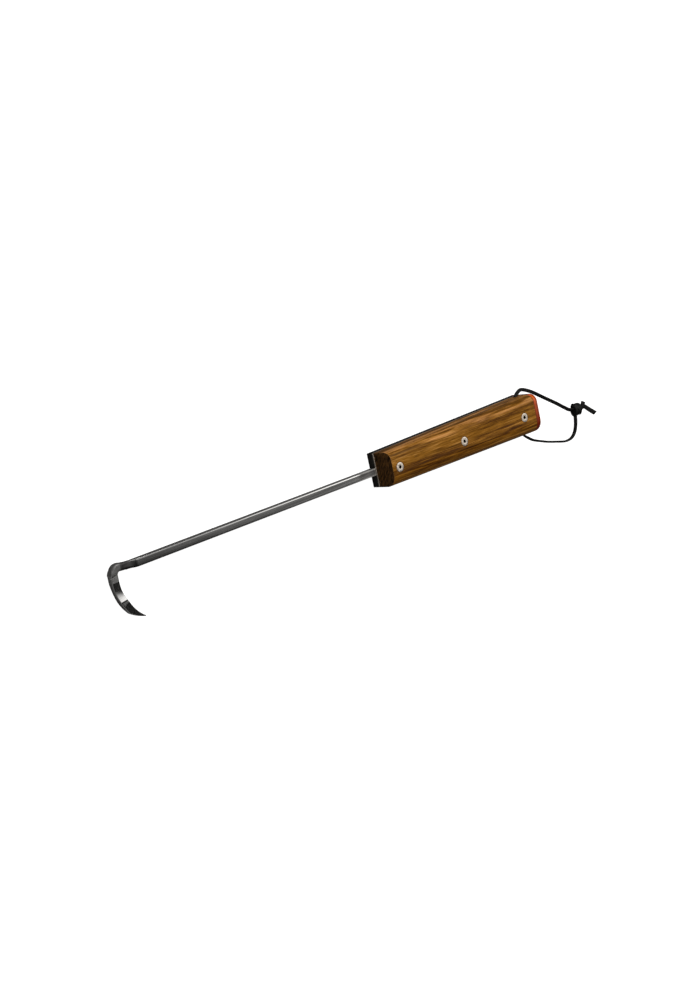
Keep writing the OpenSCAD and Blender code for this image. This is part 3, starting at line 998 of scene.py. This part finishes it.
def build_knot():
    """Overhand knot: the lace wound round itself, then tucked under its own last turn."""
    turns = 2.6
    steps = 150
    reach = 3.1
    path, sides = [], []
    for i in range(steps + 1):
        t = i / steps
        along = mix(-reach, reach, t)
        bulge = math.sqrt(max(0.0, 1.0 - (along / 5.6) ** 2))
        angle = 2.0 * math.pi * turns * t + 0.6
        radius_y = 4.25 * bulge - 0.25 * math.sin(3.0 * angle)
        radius_z = 3.35 * bulge
        skew = 0.9 * math.cos(angle)
        path.append(
            KNOT + Vector((along + skew, radius_y * math.cos(angle), radius_z * math.sin(angle)))
        )
        sides.append(Vector((1.0, 0.25 * math.sin(angle), 0.0)))
    wraps = lace_sweep("lace_knot_turns", path, sides)
    crossing = catmull(
        [
            KNOT + Vector((-1.4, 2.6, -2.6)),
            KNOT + Vector((-2.6, 4.1, -1.4)),
            KNOT + Vector((-2.6, 3.6, 1.4)),
            KNOT + Vector((-0.6, 1.0, 3.5)),
            KNOT + Vector((1.6, -1.8, 3.3)),
            KNOT + Vector((3.0, -3.5, 1.2)),
            KNOT + Vector((2.4, -3.4, -0.8)),
        ],
        14,
    )
    over = lace_sweep("lace_knot_over", crossing, [Vector((0.6, 0.8, 0.0))] * len(crossing))
    core_path = [KNOT + Vector((x, 0.0, 0.0)) for x in (-3.4, -2.6, -1.2, 0.0, 1.2, 2.6, 3.4)]
    core_path = catmull(core_path, 6)
    core_size = [math.sqrt(max(0.02, 1.0 - ((p.x - KNOT.x) / 3.8) ** 2)) for p in core_path]
    core = lace_sweep(
        "lace_knot_core",
        core_path,
        [Vector((0.0, 1.0, 0.0))] * len(core_path),
        [2.7 * s for s in core_size],
        [3.4 * s for s in core_size],
    )
    for piece in (wraps, over, core):
        paint(piece, leather)
        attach(piece, "lace_end")
    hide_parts("lace_knot")


def build_tails():
    """The lace's long end, cut on the skew, and its short end, which stands up from the knot."""
    drop = Vector((math.cos(TAIL_DROP), -math.sin(TAIL_DROP), 0.0))
    end = TAIL_BEND + TAIL_L * drop
    long_points = [KNOT + Vector((1.0, 0.6, -0.3)), TAIL_ROOT, TAIL_BEND, mix(TAIL_BEND, end, 0.5), end]
    long_path = catmull(long_points, 8)
    long_twists = spread([20.0, 12.0, 4.0, -3.0, 4.0], 8)
    long_widths = spread([0.9, 1.0, 1.15, 1.3, 1.3], 8)
    long_tail = lace_sweep(
        "lace_long_tail", long_path, turned_sides(long_path, long_twists), long_widths, slant=0.75
    )
    rise = Vector((math.cos(STUB_RISE), math.sin(STUB_RISE), 0.0))
    short_points = [KNOT + Vector((1.8, 0.2, 1.2))]
    short_points += [STUB_ROOT + rise * reach for reach in (-0.6, 2.0, STUB_L)]
    short_path = catmull(short_points, 6)
    short_sides = turned_sides(short_path, spread([30.0, 10.0, -6.0, -8.0], 6))
    short_tail = lace_sweep("lace_short_tail", short_path, short_sides, spread([0.9, 1.2, 1.3, 1.3], 6))
    for tail, node in ((long_tail, "lace_tail_long"), (short_tail, "lace_tail_short")):
        paint(tail, leather)
        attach(tail, "lace_end")
        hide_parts(node)


# ---------------------------------------------------------------------------
# Assembly
# ---------------------------------------------------------------------------

leather = lace_look()
wood = wood_look()
black_board = back_look()
orange = cap_look()
liner_metal = satin_metal_look("liner_satin", (0.50, 0.44, 0.37), (0.72, 0.64, 0.55))

paint(nodes["front_scale"], wood)
soften(nodes["front_scale"], 0.15 * MM, front_width=0.9 * MM, front_x=0.5 * MM, segments=4)
paint(nodes["liner_plate"], liner_metal)
soften(nodes["liner_plate"], 0.12 * MM)
paint(nodes["back_plate"], black_board)
soften(nodes["back_plate"], 0.2 * MM)
paint(nodes["end_cap"], orange)
soften(nodes["end_cap"], 0.25 * MM)


def finish_turned(node, along, dark, light, edge, socket_top=None):
    """Material and soft edges for a screw or a nut."""
    look = turned_metal_look("turned_" + node, middle(node), along, dark, light, socket_top)
    paint(nodes[node], look)
    soften(nodes[node], edge)


for screw in GRIP_SCREWS:
    nut = screw.replace("grip_screw", "barrel_nut")
    socket = SCREW_FACE_Z - 0.2 * MM
    finish_turned(screw, 2, (0.52, 0.45, 0.38), (0.84, 0.75, 0.65), 0.18 * MM, socket)
    finish_turned(nut, 2, (0.40, 0.40, 0.40), (0.62, 0.61, 0.60), 0.12 * MM)
for screw in ("cap_screw_upper", "cap_screw_lower"):
    finish_turned(screw, 0, (0.42, 0.42, 0.42), (0.66, 0.65, 0.64), 0.08 * MM)

build_hook()
build_loop()
build_knot()
build_tails()


# ---------------------------------------------------------------------------
# Studio: pale floor, soft light, camera
# ---------------------------------------------------------------------------


FLOOR_Z = -0.3 * MM
FLOOR_REACH = 6.0

# The soft box: its level, and smooth limits on a ray's direction as axis, where the light is nothing and
# where it is full
BOX_LEVEL = 1.8
BOX_SIDES = (
    ("Y", -0.235, 0.01),
    ("Y", 0.48, 0.28),
    ("X", 0.22, 0.45),
    ("X", 0.98, 0.84),
    ("Z", 0.15, 0.45),
)

# The dim room: its level for matt and for glossy surfaces, and its brighter walls beyond the claw and
# below the grip, with limits as for the box
ROOM_DIFFUSE = 0.20
ROOM_GLOSSY = 0.016
WALL_LEVEL = 0.22
WALLS = (("X", 0.05, -0.45), ("Y", -0.50, -0.80))

SENSOR_WIDTH = 36.0
LENS = SENSOR_WIDTH * 1700.0 / 700.0
LENS_SHIFT = (0.2 / 700.0, 0.5 / 700.0)
CAMERA_PLACE = (-0.8454, 0.2073, 0.9020)
LIGHT_TARGET = Vector((0.02, 0.0, 0.01))


def build_floor():
    """A pale floor that is near white to the camera, with faint shadows, and dim in reflections."""
    mesh = bpy.data.meshes.new("floor")
    signs = ((-1, -1), (1, -1), (1, 1), (-1, 1))
    corners = [(x * FLOOR_REACH, y * FLOOR_REACH, FLOOR_Z) for x, y in signs]
    mesh.from_pydata(corners, [], [(0, 1, 2, 3)])
    floor = bpy.data.objects.new("floor", mesh)
    bpy.context.scene.collection.objects.link(floor)
    look = Look("pale_floor")
    seen = look.add("ShaderNodeLightPath").outputs["Is Camera Ray"]
    lit = look.add("ShaderNodeBsdfDiffuse", {"Color": (0.30, 0.30, 0.30, 1.0)}).outputs[0]
    glow = look.add("ShaderNodeEmission", {"Color": (1.0, 1.0, 1.0, 1.0), "Strength": 0.95}).outputs[0]
    bright = look.add("ShaderNodeAddShader", {0: lit, 1: glow}).outputs[0]
    dim = look.add("ShaderNodeBsdfDiffuse", {"Color": (0.12, 0.12, 0.12, 1.0)}).outputs[0]
    both = look.add("ShaderNodeMixShader", {0: seen, 1: dim, 2: bright}).outputs[0]
    look.tree.links.new(both, look.output.inputs["Surface"])
    paint(floor, look.material)


def build_world():
    """White to the camera. For light, a soft box on the butt's and upper edge's side, and a dim room."""
    world = bpy.data.worlds.new("studio")
    bpy.context.scene.world = world
    world.use_nodes = True
    tree = world.node_tree
    tree.nodes.clear()

    def add(kind, inputs=None, **settings):
        return add_node(tree, kind, inputs, **settings)

    way = add("ShaderNodeTexCoord").outputs["Generated"]
    parts = add("ShaderNodeSeparateXYZ", {0: way})

    def rise(name, low, high):
        node = add(
            "ShaderNodeMapRange",
            {"Value": parts.outputs[name], "From Min": low, "From Max": high},
            interpolation_type="SMOOTHSTEP",
        )
        return node.outputs["Result"]

    level = BOX_LEVEL
    for name, low, high in BOX_SIDES:
        level = add("ShaderNodeMath", {0: level, 1: rise(name, low, high)}, operation="MULTIPLY").outputs[0]
    path = add("ShaderNodeLightPath")
    diffuse = path.outputs["Is Diffuse Ray"]
    room = add("ShaderNodeMath", {0: diffuse, 1: ROOM_DIFFUSE}, operation="MULTIPLY").outputs[0]
    room = add("ShaderNodeMath", {0: room, 1: ROOM_GLOSSY}, operation="ADD").outputs[0]
    for name, low, high in WALLS:
        far = {0: WALL_LEVEL, 1: rise(name, low, high)}
        far = add("ShaderNodeMath", far, operation="MULTIPLY").outputs[0]
        room = add("ShaderNodeMath", {0: room, 1: far}, operation="ADD").outputs[0]
    strength = add("ShaderNodeMath", {0: level, 1: room}, operation="ADD").outputs[0]
    warm = (1.0, 0.985, 0.96, 1.0)
    light = add("ShaderNodeBackground", {"Color": warm, "Strength": strength}).outputs[0]
    white = add("ShaderNodeBackground", {"Color": (1.0, 1.0, 1.0, 1.0), "Strength": 1.0}).outputs[0]
    both = add("ShaderNodeMixShader", {0: path.outputs["Is Camera Ray"], 1: light, 2: white}).outputs[0]
    out = add("ShaderNodeOutputWorld")
    tree.links.new(both, out.inputs["Surface"])


def build_light(name, place, size, power, colour=(1.0, 1.0, 1.0)):
    """Square area light that faces the grip."""
    data = bpy.data.lights.new(name, "AREA")
    data.size = size
    data.energy = power
    data.color = colour
    light = bpy.data.objects.new(name, data)
    light.location = place
    light.rotation_mode = "QUATERNION"
    light.rotation_quaternion = (LIGHT_TARGET - light.location).to_track_quat("-Z", "Y")
    bpy.context.scene.collection.objects.link(light)


def build_camera():
    """Looks down on the tool from beyond the claw, with the rod running up to the right."""
    right = Vector((0.6983, -0.2071, 0.6852))
    up = Vector((0.2735, 0.9618, 0.0120))
    back = Vector((-0.6615, 0.1790, 0.7283))
    data = bpy.data.cameras.new("camera")
    data.sensor_fit = "HORIZONTAL"
    data.sensor_width = SENSOR_WIDTH
    data.lens = LENS
    data.shift_x, data.shift_y = LENS_SHIFT
    data.clip_start = 0.01
    data.clip_end = 50.0
    camera = bpy.data.objects.new("camera", data)
    rotation = Matrix((right, up, back)).transposed().to_quaternion().to_matrix().to_4x4()
    camera.matrix_world = Matrix.Translation(CAMERA_PLACE) @ rotation
    bpy.context.scene.collection.objects.link(camera)
    bpy.context.scene.camera = camera


build_floor()
build_world()
build_light("key", Vector((0.22, 0.75, 0.85)), 0.5, 12.8, (1.0, 0.98, 0.95))
build_light("fill", Vector((-1.20, 0.15, 0.40)), 0.5, 4.0, (1.0, 0.97, 0.94))
build_camera()
bpy.context.scene.view_settings.view_transform = "Standard"

bpy.context.view_layer.update()
